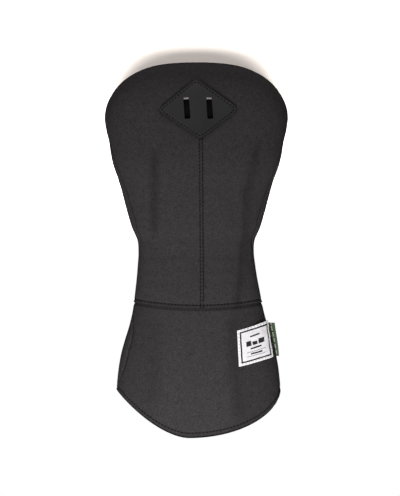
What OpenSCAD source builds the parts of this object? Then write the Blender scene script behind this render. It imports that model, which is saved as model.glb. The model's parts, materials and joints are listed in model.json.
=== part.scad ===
// Padded fabric cover for the head of a golf driver.
// It stands on +Z: the mouth and hem are at the bottom, the domed crown at the top.
// -Y is the front, with the lash patch. The origin is on the sleeve axis at the level of the hem tip.

/* [Overall size] */
// Height from the tip of the hem to the top of the crown
total_h = 340; // [330:1:350]
// Width of the head pocket at its widest level
crown_w = 166; // [160:1:172]
// Depth of the head pocket, front to back
crown_d = 85; // [80:1:90]
// Height of the dome above the widest level
crown_h = 49; // [44:1:54]

/* [Neck] */
// Height of the middle of the gathered neck
neck_z = 172; // [168:1:176]
// Width across the neck
neck_w = 104.6; // [100:0.2:108]
// Depth of the neck, front to back
neck_d = 50; // [46:1:54]
// Width of the elastic tape in the neck
elastic_w = 17; // [14:1:18]

/* [Sleeve] */
// Height of the horizontal seam at the centre of the front
seam_z = 117.5; // [114:0.5:121]
// Rise of the horizontal seam from the centre to the side seams
seam_rise = 5.5; // [3:0.5:7]
// Width across the horizontal seam
seam_w = 117; // [113:1:121]
// Depth at the horizontal seam
seam_d = 53; // [50:1:56]
// Width of the mouth at the hem
hem_w = 148; // [144:1:154]
// Depth of the mouth at the hem
hem_d = 61; // [57:1:66]
// Height of the hem at the side seams above its tip
hem_rise = 45; // [40:1:50]
// Sideways shift of the hem tip from the axis
hem_tip_x = -9; // [-14:1:0]

/* [Layers] */
// Thickness of the outer woven fabric
fabric_t = 1.2; // [1:0.1:1.6]
// Thickness of the foam padding round the head pocket
foam_t = 4; // [3:0.5:5]
// Thickness of the fleece lining
fleece_t = 1.8; // [1.4:0.1:2.2]
// Thickness of the elastic tape
elastic_t = 1.2; // [1:0.1:1.6]
// Clearance between neighbouring layers
layer_gap = 0.15; // [0.15:0.05:0.25]
// Clearance where two panels meet at a seam
seam_gap = 0.2; // [0.2:0.1:0.4]

/* [Dart] */
// Sideways place of the dart at its top, under the patch
dart_top_x = 2.3; // [1:0.1:6]
// Sideways place of the dart at the horizontal seam
dart_foot_x = 3.5; // [1:0.1:6]
// Distance from the dart to its topstitch
dart_stitch_x = 2.6; // [2:0.1:4]
// Width and depth of the crease along the dart
dart_crease = 0.6; // [0.4:0.1:0.8]

/* [Lash patch] */
// Corner to corner width of the diamond patch
patch_w = 69.3; // [64:0.1:74]
// Corner to corner height of the diamond patch, seen from the front
patch_h = 50; // [46:1:54]
// Thickness of the patch
patch_t = 1.8; // [1.4:0.1:2.4]
// Sideways place of the patch centre
patch_x = 1.1; // [-3:0.1:5]
// Height of the patch centre
patch_z = 297.4; // [293:0.1:300]
// Tilt of the patch about its centre
patch_tilt = 2.5; // [-4:0.5:4]
// Width of each lash slot
slot_w = 5.2; // [3:0.2:6]
// Length of each lash slot
slot_h = 19; // [15:0.5:20]
// Spacing of the two lash slots
slot_pitch = 20.5; // [17:0.5:23]
// Height of the slots above the patch centre
slot_rise = 1.9; // [0:0.1:3]
// Tilt of the slots
slot_tilt = 4; // [-4:0.5:5]

/* [Woven label] */
// Height of the label centre
label_z = 85.3; // [83:0.5:88]
// Angle of the label's far edge from the side seam, round the sleeve
label_far_a = 60; // [56:1:64]
// Angle of the label's near edge from the side seam
label_near_a = 14; // [12:1:18]
// Rise of the label from its far edge to its near edge
label_lift = 9; // [6:0.5:11]
// Height of the label
label_h = 32.8; // [29:0.2:34]
// Thickness of the label
label_t = 0.7; // [0.5:0.1:1]

/* [Side tab] */
// Height of the middle of the ribbon tab
tab_z = 90; // [88:1:92]
// Length of the tab along the side seam
tab_h = 30; // [24:1:32]
// How far the folded ribbon stands out from its root
tab_w = 5.4; // [4:0.2:7]
// Thickness of the ribbon
ribbon_t = 0.5; // [0.4:0.1:0.6]

/* [Stitching] */
// Length of one stitch along a row, with the gap after it
stitch_pitch = 3.2; // [3:0.1:4]
// Length of the visible thread in each stitch
stitch_len = 2; // [1.6:0.1:2.4]
// Diameter of the thread
thread_d = 0.5; // [0.4:0.1:0.6]
// Distance of each row from the horizontal seam
seam_row = 2.8; // [2.4:0.1:3.2]
// Distance of the hem row above the hem edge
hem_row = 4.5; // [4:0.1:6]
// Distance of the patch row inside the patch edge
patch_row = 2; // [1.6:0.1:3]
// Distance of the label row inside the label edge
label_row = 1.4; // [1.2:0.1:2]

/* [Hidden] */

// Columns across half a cover, and rows over the dome
columns = 20;
dome_rows = 7;

// Exponents of the rounded cross-section and of the rounded dome
section_n = 2.3;
dome_n = 2.25;
section_e = 2 / section_n;
dome_e = 2 / dome_n;

widest_z = total_h - crown_h;
foam_in = fabric_t + layer_gap;
head_fleece_in = foam_in + foam_t + layer_gap;
sleeve_fleece_in = fabric_t + layer_gap;
elastic_in = fabric_t + 2 * layer_gap;
elastic_low_z = neck_z - elastic_w / 2;
elastic_high_z = neck_z + elastic_w / 2;

// Distance from the hem edge to the lower edge of the fleece, and from the elastic to the foam
hem_to_fleece = 3;
elastic_to_foam = 12;

// Heights shared by all layers, so that their facets lie parallel
level_count = 22;
levels = [for (i = [0 : level_count]) hem_rise + (widest_z - hem_rise) * i / level_count];

// Levels nearer than this to an edge are left out of a layer
row_clear = 3;
// Tolerance on the ends of a range of levels
level_tol = 1;
sleeve_fleece_high_z = max([for (z = levels) if (z < elastic_low_z - row_clear) z]);
head_fleece_low_z = min([for (z = levels) if (z > elastic_high_z + row_clear) z]);
foam_low_z = min([for (z = levels) if (z > elastic_high_z + elastic_to_foam) z]);

// Height of the patch and label above the fabric, and of the middle of a thread above what it is sewn on
patch_lift = 0.25;
thread_lift = 0.45;
thread_facets = 16;

function mix(a, b, t) = a + (b - a) * t;
function signed_pow(v, e) = sign(v) * pow(abs(v), e);

// Height, half width and half depth at each level where the outline changes its direction.
// The first is below the hem tip, so that the hem band runs straight down. The two after the hem taper the
// sleeve to its seam, the neck has one on each side of its middle, and the last four flare the head pocket
stations = [
    [-20, hem_w / 2, hem_d / 2],
    [hem_rise, hem_w / 2, hem_d / 2],
    [mix(hem_rise, seam_z, 0.42), mix(hem_w, seam_w, 0.24) / 2, mix(hem_d, seam_d, 0.30) / 2],
    [mix(hem_rise, seam_z, 0.86), mix(hem_w, seam_w, 0.83) / 2, mix(hem_d, seam_d, 0.85) / 2],
    [seam_z + 8, seam_w / 2 - 1, seam_d / 2],
    [neck_z - 7, neck_w / 2, neck_d / 2],
    [neck_z + 8, neck_w / 2 + 0.9, neck_d / 2 + 2],
    [neck_z + 20, mix(neck_w, crown_w, 0.20) / 2, mix(neck_d, crown_d, 0.31) / 2],
    [mix(neck_z, widest_z, 0.49), mix(neck_w, crown_w, 0.545) / 2, mix(neck_d, crown_d, 0.74) / 2],
    [mix(neck_z, widest_z, 0.76), mix(neck_w, crown_w, 0.82) / 2, mix(neck_d, crown_d, 0.93) / 2],
    [widest_z, crown_w / 2, crown_d / 2]
];
last_station = len(stations) - 1;

// Slope of column k at station i. The outline runs straight up at both ends
function slope(i, k) =
    i == 0 || i == last_station ? 0
    : (stations[i + 1][k] - stations[i - 1][k]) / (stations[i + 1][0] - stations[i - 1][0]);

// Smooth cubic through the stations: k = 1 gives the half width, k = 2 the half depth
function outline(z, k) =
    let (
        below = len([for (s = stations) if (s[0] <= z) s]) - 1,
        i = min(max(below, 0), last_station - 1),
        rise = stations[i + 1][0] - stations[i][0],
        t = (min(z, widest_z) - stations[i][0]) / rise
    )
    (2 * pow(t, 3) - 3 * pow(t, 2) + 1) * stations[i][k]
    + (3 * pow(t, 2) - 2 * pow(t, 3)) * stations[i + 1][k]
    + (pow(t, 3) - 2 * pow(t, 2) + t) * rise * slope(i, k)
    + (pow(t, 3) - pow(t, 2)) * rise * slope(i + 1, k);

// How much the dome has closed in at height z: 1 up to the widest level, 0 at the crown
function dome(z) =
    z <= widest_z ? 1 : pow(max(0, 1 - pow((z - widest_z) / crown_h, dome_n)), 1 / dome_n);

function half_w(z) = outline(z, 1) * dome(z);
function half_d(z) = outline(z, 2) * dome(z);

// Exponents of the hem curve on each side of its tip: at the tip, then at the side seam.
// Two and two would be a quarter of an ellipse, and one at the side seam is nearly straight there
hem_left = [1.67, 1.05];
hem_right = [2, 1.85];

// Height of the hem and of the horizontal seam at share c of the half width, from -1 to 1
hem_tip = hem_tip_x / (hem_w / 2);
function hem_height(c) =
    let (
        left = c < hem_tip,
        s = left ? (hem_tip - c) / (hem_tip + 1) : (c - hem_tip) / (1 - hem_tip),
        n = left ? hem_left : hem_right
    )
    hem_rise * (1 - pow(max(0, 1 - pow(s, n[0])), 1 / n[1]));
function seam_height(c) = seam_z + seam_rise * c * c;

// Sideways place of the dart at height z
dart_top_z = patch_z - patch_h / 2;
function dart_x(z) = mix(dart_foot_x, dart_top_x, (z - seam_z) / (dart_top_z - seam_z));

// Point of the back half at angle a from the right side seam, at height z, inset from the surface
function side_point(a, z, inset) = [
    signed_pow(cos(a), section_e) * (outline(z, 1) - inset),
    seam_gap / 2 + pow(sin(a), section_e) * (outline(z, 2) - inset),
    z
];

// The same on the dome: rise goes from 0 at the widest level to 90 at the crown
function dome_point(a, rise, inset) =
    let (close = pow(cos(rise), dome_e))
    [
        signed_pow(cos(a), section_e) * (crown_w / 2 - inset) * close,
        seam_gap / 2 + pow(sin(a), section_e) * (crown_d / 2 - inset) * close,
        widest_z + (crown_h - inset) * pow(sin(rise), dome_e)
    ];

// Point of the front at sideways place x and height z, lifted off the surface
function front_point(x, z, lift) =
    let (c = x / (half_w(z) + lift))
    [x, -seam_gap / 2 - (half_d(z) + lift) * pow(max(0, 1 - pow(abs(c), section_n)), 1 / section_n), z];

// Share of the half width at angle a from the side seam
function edge_share(a) = signed_pow(cos(a), section_e);

// Triangles of a solid between two grids of points with the same layout.
// A grid whose last row is one point closes in a pole
function grid_index(r, c, rows, cols, pole) =
    r < rows || !pole ? r * (cols + 1) + c : rows * (cols + 1);
function slab_faces(rows, cols, pole) =
    let (
        count = pole ? rows * (cols + 1) + 1 : (rows + 1) * (cols + 1),
        quads = [
            for (r = [0 : rows - 1], c = [0 : cols - 1])
                let (
                    p = grid_index(r, c, rows, cols, pole),
                    q = grid_index(r, c + 1, rows, cols, pole),
                    s = grid_index(r + 1, c + 1, rows, cols, pole),
                    t = grid_index(r + 1, c, rows, cols, pole)
                )
                [p, q, s, t]
        ],
        skins = [
            for (k = quads) each [
                [k[0], k[1], k[2]],
                [k[0], k[2], k[3]],
                [k[2] + count, k[1] + count, k[0] + count],
                [k[3] + count, k[2] + count, k[0] + count]
            ]
        ],
        rim = concat(
            [for (c = [0 : cols - 1]) [c + 1, c]],
            [
                for (c = [0 : cols - 1])
                    [grid_index(rows, c, rows, cols, pole), grid_index(rows, c + 1, rows, cols, pole)]
            ],
            [
                for (r = [0 : rows - 1])
                    [grid_index(r, 0, rows, cols, pole), grid_index(r + 1, 0, rows, cols, pole)]
            ],
            [
                for (r = [0 : rows - 1])
                    [grid_index(r + 1, cols, rows, cols, pole), grid_index(r, cols, rows, cols, pole)]
            ]
        ),
        walls = [
            for (e = rim) each [
                [e[0], e[1], e[1] + count],
                [e[0], e[1] + count, e[0] + count]
            ]
        ]
    )
    [for (f = concat(skins, walls)) if (f[0] != f[1] && f[1] != f[2] && f[2] != f[0]) f];

// Rows of a wall are functions of c. These are the level rows between two heights
function level_rows(low, high) = [for (z = levels) if (z > low && z < high) function(c) z];
hem_row_at = function(rise) function(c) hem_height(c) + rise;
seam_row_at = function(rise) function(c) seam_height(c) + rise;
skirt_levels = level_rows(hem_rise + hem_to_fleece + row_clear, seam_z - row_clear);
neck_levels = level_rows(seam_z + seam_rise + row_clear, sleeve_fleece_high_z + level_tol);
panel_levels = level_rows(seam_z + seam_rise + row_clear, widest_z - level_tol);

// Half of the cover below the dome, through the given rows
module half_wall(rows, outer, inner) {
    points = [
        for (inset = [outer, inner], row = rows, a = even_angles(0))
            side_point(a, row(edge_share(a)), inset)
    ];
    polyhedron(points, slab_faces(len(rows) - 1, columns, false));
}

// Column angles at height z of a plain half, where they are the same at every height, and of the front panel,
// which has three more along its dart
function even_angles(z) = [for (i = [0 : columns]) 180 * i / columns];
function dart_angles(z) =
    let (
        level = min(z, dart_top_z),
        a = acos(pow(dart_x(level) / half_w(level), 1 / section_e)),
        side = dart_crease / 2 / half_w(level) * 180 / PI,
        middle = columns / 2
    )
    concat(
        [for (i = [0 : middle - 1]) 180 * i / columns],
        [a - side, a, a + side],
        [for (i = [middle : columns]) 180 * i / columns]
    );

// Half of the cover through the given rows and over the dome to the crown.
// crease(i, z) is how far column i is pressed in at height z
module half_hood(rows, outer, inner, angles = function(z) even_angles(z), crease = function(i, z) 0) {
    cols = len(angles(widest_z)) - 1;
    points = [
        for (inset = [outer, inner]) each concat(
            [
                for (row = rows, i = [0 : cols])
                    let (
                        a = angles(row(0))[i],
                        z = row(edge_share(a)),
                        press = inset == outer ? crease(i, z) : 0
                    )
                    side_point(a, z, inset + press)
            ],
            [
                for (r = [0 : dome_rows - 1], a = angles(widest_z))
                    dome_point(a, 90 * r / dome_rows, inset)
            ],
            [dome_point(90, 90, inset)]
        )
    ];
    polyhedron(points, slab_faces(len(rows) + dome_rows, cols, true));
}

module front_half() {
    mirror([0, 1, 0]) children();
}

module skirt() {
    half_wall(
        concat([hem_row_at(0), hem_row_at(hem_to_fleece)], skirt_levels, [seam_row_at(-seam_gap / 2)]),
        0, fabric_t
    );
}

module padding() {
    half_hood(level_rows(foam_low_z - level_tol, widest_z - level_tol), foam_in, foam_in + foam_t);
}

module head_lining() {
    half_hood(
        level_rows(head_fleece_low_z - level_tol, widest_z - level_tol),
        head_fleece_in, head_fleece_in + fleece_t
    );
}

module sleeve_lining() {
    half_wall(
        concat([hem_row_at(hem_to_fleece)], skirt_levels, [seam_row_at(0)], neck_levels),
        sleeve_fleece_in, sleeve_fleece_in + fleece_t
    );
}

// Round rod of diameter d from point p to point q
module rod(p, q, d) {
    v = q - p;
    translate(p) rotate([0, acos(v[2] / norm(v)), atan2(v[1], v[0])])
        cylinder(h = norm(v), d = d, $fn = thread_facets);
}

// Row of stitches along a chain of points, spaced by length
module stitch_row(path) {
    steps = [for (i = [1 : len(path) - 1]) norm(path[i] - path[i - 1])];
    along = [for (i = 0, s = 0; i < len(path); s = s + (i < len(steps) ? steps[i] : 0), i = i + 1) s];
    tracks = [for (k = [0 : 2]) [for (i = [0 : len(path) - 1]) [along[i], path[i][k]]]];
    total = along[len(path) - 1];
    count = floor(total / stitch_pitch);
    start = (total - count * stitch_pitch + stitch_pitch - stitch_len) / 2;
    for (i = [0 : count - 1]) {
        s = start + i * stitch_pitch;
        p = [for (k = [0 : 2]) lookup(s, tracks[k])];
        q = [for (k = [0 : 2]) lookup(s + stitch_len, tracks[k])];
        rod(p, q, thread_d);
    }
}

// Row across the back half that keeps the distance rise from an edge, and stops short of the side seams
module edge_row(edge, rise) {
    inset_a = 2;
    path_steps = 48;
    stitch_row([
        for (i = [0 : path_steps])
            let (a = mix(inset_a, 180 - inset_a, i / path_steps))
            side_point(a, edge(edge_share(a)) + rise, -thread_lift)
    ]);
}

module seam_rows() {
    edge_row(function(c) seam_height(c), seam_row);
    edge_row(function(c) seam_height(c), -seam_row);
}

module hem_rows() {
    edge_row(function(c) hem_height(c), hem_row);
}

// Outline of the diamond patch at angle a, with softened corners, brought in by a margin
corner_soft = 0.05;
function soft(v) = sqrt(v * v + corner_soft * corner_soft);
function diamond(a, margin) =
    let (
        side = norm([patch_w, patch_h]),
        across = patch_w / 2 - margin * side / patch_h,
        up = patch_h / 2 - margin * side / patch_w,
        corner = soft(1) / across + corner_soft / up,
        reach = across * corner / (soft(cos(a)) / across + soft(sin(a)) / up)
    )
    [patch_x + reach * cos(a + patch_tilt), patch_z + reach * sin(a + patch_tilt)];

module patch_plate() {
    rings = 6;
    spokes = 40;
    hub = [patch_x, patch_z];
    ring_points = [
        for (lift = [patch_lift + patch_t, patch_lift]) each concat(
            [
                for (r = [rings : -1 : 1], i = [0 : spokes - 1])
                    let (p = mix(hub, diamond(360 * i / spokes, 0), r / rings))
                    front_point(p[0], p[1], lift)
            ],
            [front_point(hub[0], hub[1], lift)]
        )
    ];
    count = rings * spokes + 1;
    function spoke(r, i) = r < rings ? r * spokes + (i % spokes) : rings * spokes;
    skin = [
        for (r = [0 : rings - 1], i = [0 : spokes - 1]) each [
            [spoke(r, i), spoke(r + 1, i + 1), spoke(r, i + 1)],
            [spoke(r, i), spoke(r + 1, i), spoke(r + 1, i + 1)]
        ]
    ];
    faces = concat(
        skin,
        [for (f = skin) [f[2] + count, f[1] + count, f[0] + count]],
        [
            for (i = [0 : spokes - 1]) each [
                [spoke(0, i), spoke(0, i + 1), spoke(0, i + 1) + count],
                [spoke(0, i), spoke(0, i + 1) + count, spoke(0, i) + count]
            ]
        ]
    );
    polyhedron(ring_points, [for (f = faces) if (f[0] != f[1] && f[1] != f[2] && f[2] != f[0]) f]);
}

module lash_slots() {
    translate([patch_x, -crown_d / 2, patch_z + slot_rise]) rotate([0, -slot_tilt, 0])
        for (side = [-1, 1])
            translate([side * slot_pitch / 2, 0, 0])
                cube([slot_w, crown_d / 3, slot_h], center = true);
}

// Point of the label: u and v run from -1 to 1 across and up it
function label_point(u, v, lift) =
    let (p = side_point(
        mix(label_far_a, label_near_a, (u + 1) / 2),
        label_z + u * label_lift / 2 + v * label_h / 2,
        -lift
    ))
    [p[0], -p[1], p[2]];

module label_plate() {
    rows = 10;
    cols = 14;
    points = [
        for (lift = [patch_lift + label_t, patch_lift], r = [0 : rows], c = [0 : cols])
            label_point(1 - 2 * c / cols, 2 * r / rows - 1, lift)
    ];
    polyhedron(points, slab_faces(rows, cols, false));
}

// The root line of the tab is straight, and stands clear of the side seam, which curves
tab_root_gap = 1.3;
tab_low = [half_w(tab_z - tab_h / 2) + tab_root_gap, 0, tab_z - tab_h / 2];
tab_high = [half_w(tab_z + tab_h / 2) + tab_root_gap, 0, tab_z + tab_h / 2];
tab_lean = atan2(tab_low[0] - tab_high[0], tab_h);

// Ribbon folded double round a rounded end, with the space of one thickness between its two halves
module folded_ribbon(length) {
    fold_t = 3 * ribbon_t;
    flat_w = tab_w - fold_t / 2;
    cut_over = 1;
    linear_extrude(height = length) difference() {
        union() {
            translate([0, -fold_t / 2]) square([flat_w, fold_t]);
            translate([flat_w, 0]) circle(d = fold_t, $fn = 24);
        }
        translate([-cut_over, -ribbon_t / 2]) square([flat_w + cut_over, ribbon_t]);
    }
}

charcoal = [0.23, 0.225, 0.23];
fleece_black = [0.13, 0.13, 0.135];
foam_grey = [0.55, 0.55, 0.52];
elastic_black = [0.08, 0.08, 0.08];
patch_black = [0.18, 0.18, 0.18];
label_white = [0.88, 0.87, 0.88];
ribbon_green = [0.29, 0.39, 0.24];
dark_thread = [0.09, 0.09, 0.09];
pale_thread = [0.75, 0.75, 0.76];

// The dart is the middle one of the three added columns
module front_panel() {
    dart_column = columns / 2 + 1;
    color(charcoal) front_half() half_hood(
        concat([seam_row_at(seam_gap / 2)], panel_levels),
        0, fabric_t,
        function(z) dart_angles(z),
        function(i, z) i == dart_column && z < dart_top_z ? dart_crease : 0
    );
}

module back_panel() {
    color(charcoal) half_hood(concat([seam_row_at(seam_gap / 2)], panel_levels), 0, fabric_t);
}

module front_skirt() {
    color(charcoal) front_half() skirt();
}

module back_skirt() {
    color(charcoal) skirt();
}

module front_padding() {
    color(foam_grey) front_half() padding();
}

module back_padding() {
    color(foam_grey) padding();
}

module head_lining_front() {
    color(fleece_black) front_half() head_lining();
}

module head_lining_back() {
    color(fleece_black) head_lining();
}

module sleeve_lining_front() {
    color(fleece_black) front_half() sleeve_lining();
}

module sleeve_lining_back() {
    color(fleece_black) sleeve_lining();
}

// Closed band of elastic tape, sewn inside the neck
module neck_elastic() {
    spokes = 2 * columns;
    heights = concat(
        [elastic_low_z],
        [for (z = levels) if (z > elastic_low_z + level_tol && z < elastic_high_z - level_tol) z],
        [elastic_high_z]
    );
    rows = len(heights) - 1;
    points = [
        for (inset = [elastic_in, elastic_in + elastic_t], z = heights, i = [0 : spokes - 1])
            let (a = 360 * i / spokes)
            [
                signed_pow(cos(a), section_e) * (outline(z, 1) - inset),
                signed_pow(sin(a), section_e) * (outline(z, 2) - inset),
                z
            ]
    ];
    count = (rows + 1) * spokes;
    function at(r, i) = r * spokes + (i % spokes);
    skins = [
        for (r = [0 : rows - 1], i = [0 : spokes - 1]) each [
            [at(r, i), at(r + 1, i + 1), at(r, i + 1)],
            [at(r, i), at(r + 1, i), at(r + 1, i + 1)],
            [at(r, i) + count, at(r, i + 1) + count, at(r + 1, i + 1) + count],
            [at(r, i) + count, at(r + 1, i + 1) + count, at(r + 1, i) + count]
        ]
    ];
    edges = [
        for (i = [0 : spokes - 1]) each [
            [at(0, i), at(0, i + 1), at(0, i + 1) + count],
            [at(0, i), at(0, i + 1) + count, at(0, i) + count],
            [at(rows, i + 1), at(rows, i), at(rows, i + 1) + count],
            [at(rows, i), at(rows, i) + count, at(rows, i + 1) + count]
        ]
    ];
    color(elastic_black) polyhedron(points, concat(skins, edges));
}

module lash_patch() {
    color(patch_black) difference() {
        patch_plate();
        lash_slots();
    }
}

module woven_label() {
    color(label_white) label_plate();
}

module side_tab() {
    color(ribbon_green) translate(tab_low) rotate([0, -tab_lean, 0]) folded_ribbon(tab_h);
}

module dart_stitching() {
    path_steps = 40;
    low_z = seam_z + 2 * seam_row;
    high_z = dart_top_z + 1;
    color(dark_thread) stitch_row([
        for (i = [0 : path_steps])
            let (z = mix(low_z, high_z, i / path_steps))
            front_point(dart_x(z) + dart_stitch_x, z, thread_lift)
    ]);
}

module seam_stitching_front() {
    color(dark_thread) front_half() seam_rows();
}

module seam_stitching_back() {
    color(dark_thread) seam_rows();
}

module hem_stitching_front() {
    color(dark_thread) front_half() hem_rows();
}

module hem_stitching_back() {
    color(dark_thread) hem_rows();
}

module patch_stitching() {
    path_steps = 80;
    color(dark_thread) stitch_row([
        for (i = [0 : path_steps])
            let (p = diamond(360 * i / path_steps, patch_row))
            front_point(p[0], p[1], patch_lift + patch_t + thread_lift)
    ]);
}

module label_stitching() {
    path_steps = 12;
    label_w = norm(label_point(1, 0, 0) - label_point(-1, 0, 0));
    across = 1 - 2 * label_row / label_w;
    up = 1 - 2 * label_row / label_h;
    corners = [[-across, -up], [across, -up], [across, up], [-across, up]];
    color(pale_thread) for (side = [0 : 3])
        stitch_row([
            for (i = [0 : path_steps])
                let (p = mix(corners[side], corners[(side + 1) % 4], i / path_steps))
                label_point(p[0], p[1], patch_lift + label_t + thread_lift)
        ]);
}

front_panel();
back_panel();
front_skirt();
back_skirt();
front_padding();
back_padding();
head_lining_front();
head_lining_back();
sleeve_lining_front();
sleeve_lining_back();
neck_elastic();
lash_patch();
woven_label();
side_tab();
dart_stitching();
seam_stitching_front();
seam_stitching_back();
hem_stitching_front();
hem_stitching_back();
patch_stitching();
label_stitching();
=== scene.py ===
"""Looks of a padded head cover for a golf driver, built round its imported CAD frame.

Every soft layer is drawn from one shared form of the cover, so the woven shell, the foam, the fleece, the
elastic, the patch, the label and all the thread follow the same folds. Lengths are in millimetres until a
mesh is made.
"""
import json
import math

import bmesh
import bpy
import numpy as np
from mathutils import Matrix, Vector


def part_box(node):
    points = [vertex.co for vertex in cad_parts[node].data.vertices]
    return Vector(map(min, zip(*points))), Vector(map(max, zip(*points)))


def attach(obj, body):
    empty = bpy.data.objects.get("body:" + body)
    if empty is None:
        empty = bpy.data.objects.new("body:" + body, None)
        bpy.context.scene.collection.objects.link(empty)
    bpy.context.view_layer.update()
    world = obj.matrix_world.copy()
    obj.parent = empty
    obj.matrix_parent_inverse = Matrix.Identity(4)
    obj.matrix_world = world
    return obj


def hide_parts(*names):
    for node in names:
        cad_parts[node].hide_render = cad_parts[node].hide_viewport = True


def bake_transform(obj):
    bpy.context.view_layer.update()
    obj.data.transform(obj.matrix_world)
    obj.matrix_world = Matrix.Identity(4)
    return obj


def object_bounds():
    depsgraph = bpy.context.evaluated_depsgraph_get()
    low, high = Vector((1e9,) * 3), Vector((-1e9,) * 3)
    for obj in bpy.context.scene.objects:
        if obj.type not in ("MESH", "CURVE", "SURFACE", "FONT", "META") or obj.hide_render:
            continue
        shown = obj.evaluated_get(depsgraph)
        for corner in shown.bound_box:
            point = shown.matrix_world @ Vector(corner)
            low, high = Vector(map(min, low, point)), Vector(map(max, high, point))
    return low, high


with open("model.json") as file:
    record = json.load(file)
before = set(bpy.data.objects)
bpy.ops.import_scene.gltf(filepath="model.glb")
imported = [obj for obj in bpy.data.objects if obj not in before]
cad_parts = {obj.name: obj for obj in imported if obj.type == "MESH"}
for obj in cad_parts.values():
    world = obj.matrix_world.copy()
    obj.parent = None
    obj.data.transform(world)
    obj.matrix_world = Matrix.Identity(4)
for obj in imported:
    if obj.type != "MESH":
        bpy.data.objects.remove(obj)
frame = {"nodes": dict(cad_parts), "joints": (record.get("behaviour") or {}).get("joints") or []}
cad_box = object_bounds()

MM = 0.001
TURN = 2 * np.pi

# Exponents of the rounded cross-section and of the rounded dome
SECTION_N = 2.3
SECTION_E = 2 / SECTION_N
DOME_E = 2 / 2.25
# Length that the dome rows are spread over, from the widest level to the crown
DOME_RUN = 85.0

# Thicknesses and places of the layers, measured inwards from the outer face of the woven shell
FABRIC_T = 1.0
FOAM_IN, FOAM_OUT = 1.4, 5.3
HEAD_FLEECE_IN, HEAD_FLEECE_OUT = 5.5, 7.3
SLEEVE_FLEECE_IN, SLEEVE_FLEECE_OUT = 1.4, 3.2
ELASTIC_IN, ELASTIC_OUT = 1.5, 2.7
# Thickness of the shell where the hem folds it double
HEM_T = 1.35

# Radius of the roll where two panels plunge into a side seam
PILLOW_R = 2.2
# Rows of topstitching above and below the folded edge of the horizontal seam, and above the hem
ROW_ABOVE, ROW_BELOW, HEM_ROW = 2.8, 1.9, 4.5
STITCH_PITCH, STITCH_LEN, THREAD_R = 3.2, 2.0, 0.42
# Distance from the dart to its topstitch
DART_ROW = 2.6


# ---- small maths

def mix(a, b, t):
    return a + (b - a) * t


def ease(t):
    t = np.clip(t, 0, 1)
    return t * t * (3 - 2 * t)


def window(v, low, high, soft):
    """1 between low and high, easing to 0 over a length of soft inside each end."""
    return ease((v - low) / soft) * ease((high - v) / soft)


def bell(v, width):
    return np.exp(-((v / width) ** 2))


def signed_pow(v, e):
    return np.sign(v) * np.abs(v) ** e


def hermite(x, xs, ys):
    """Smooth cubic through the points, level at both ends."""
    slopes = np.gradient(ys, xs)
    slopes[[0, -1]] = 0
    x = np.clip(x, xs[0], xs[-1])
    i = np.clip(np.searchsorted(xs, x) - 1, 0, len(xs) - 2)
    step = xs[i + 1] - xs[i]
    t = (x - xs[i]) / step
    ends = (2 * t**3 - 3 * t**2 + 1) * ys[i] + (3 * t**2 - 2 * t**3) * ys[i + 1]
    return ends + step * ((t**3 - 2 * t**2 + t) * slopes[i] + (t**3 - t**2) * slopes[i + 1])


# ---- outline, read from the frame

def node_points(node):
    mesh = frame["nodes"][node].data
    flat = np.empty(3 * len(mesh.vertices), np.float32)
    mesh.vertices.foreach_get("co", flat)
    return flat.reshape(-1, 3).astype(float) / MM


def cover_rings():
    """Heights, half widths and half depths of the cover's rings, from the hem to the widest level."""
    same_level, full_ring = 0.06, 30
    skirt = node_points("back_skirt")
    side = skirt[skirt[:, 0] > skirt[:, 0].max() - 0.01]
    rings = [(side[:, 2].min(), side[0, 0], np.ptp(skirt[:, 1]))]
    for points in (skirt, node_points("back_panel")):
        for z in np.unique(points[:, 2].round(1)):
            ring = points[abs(points[:, 2] - z) < same_level]
            if len(np.unique(ring[:, 0].round(1))) > full_ring:
                rings.append((z, ring[:, 0].max(), np.ptp(ring[:, 1])))
    rings = np.array(sorted(rings))
    return rings[: rings[:, 1].argmax() + 1].T


RING_Z, RING_W, RING_D = cover_rings()
HEM_RISE, WIDEST = RING_Z[0], RING_Z[-1]
HEM_W = RING_W[0]
TOP = WIDEST + DOME_RUN
CROWN_H = cad_box[1].z / MM - WIDEST
SEAM_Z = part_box("front_panel")[0].z / MM
SEAM_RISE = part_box("front_skirt")[1].z / MM - SEAM_Z
NECK_Z = frame["joints"][0]["pos_m"][2] / MM


def half_w(level):
    return hermite(level, RING_Z, RING_W)


def half_d(level):
    return hermite(level, RING_Z, RING_D)


def dome_close(level):
    rise = np.clip((level - WIDEST) / DOME_RUN, 0, 1) * np.pi / 2
    return np.abs(np.cos(rise)) ** DOME_E, np.sin(rise) ** DOME_E


def girth(level):
    """Length round the cover at a level: that of an ellipse, and a little more for the squarer section."""
    squarer = 1.03
    w, d = half_w(level), half_d(level)
    closing = np.maximum(dome_close(level)[0], 0.02)
    return squarer * np.pi * (3 * (w + d) - np.sqrt((3 * w + d) * (w + 3 * d))) * closing


# Girth of a typical ring, and the ratio of its width to its depth
TYPICAL_GIRTH = girth(np.array(150.0))
TYPICAL_RATIO = 2.15


def shares_round(angles):
    """Share of the way round a typical ring at which each angle lies."""
    across = signed_pow(np.cos(angles), SECTION_E) * TYPICAL_RATIO
    steps = np.hypot(np.diff(across), np.diff(signed_pow(np.sin(angles), SECTION_E)))
    return np.concatenate([[0], np.cumsum(steps)]) / steps.sum()


ANGLES = np.linspace(0, TURN, 1441)
TURNS = shares_round(ANGLES)


def turn_at(a):
    return np.interp(a, ANGLES, TURNS)


def angle_at(turn):
    whole = np.floor(turn)
    return np.interp(turn - whole, TURNS, ANGLES) + whole * TURN


# Place of the hem's tip as a share of the half width, and exponents of the hem's fall on its left and right
HEM_TIP = -9 / HEM_W
HEM_LEFT = (1.67, 1.05)
HEM_RIGHT = (2.0, 1.85)
# Height of the hem at its tip and at the side seams
HEM_FOOT = 0.9
HEM_SIDE = HEM_RISE - 1.6


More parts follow.
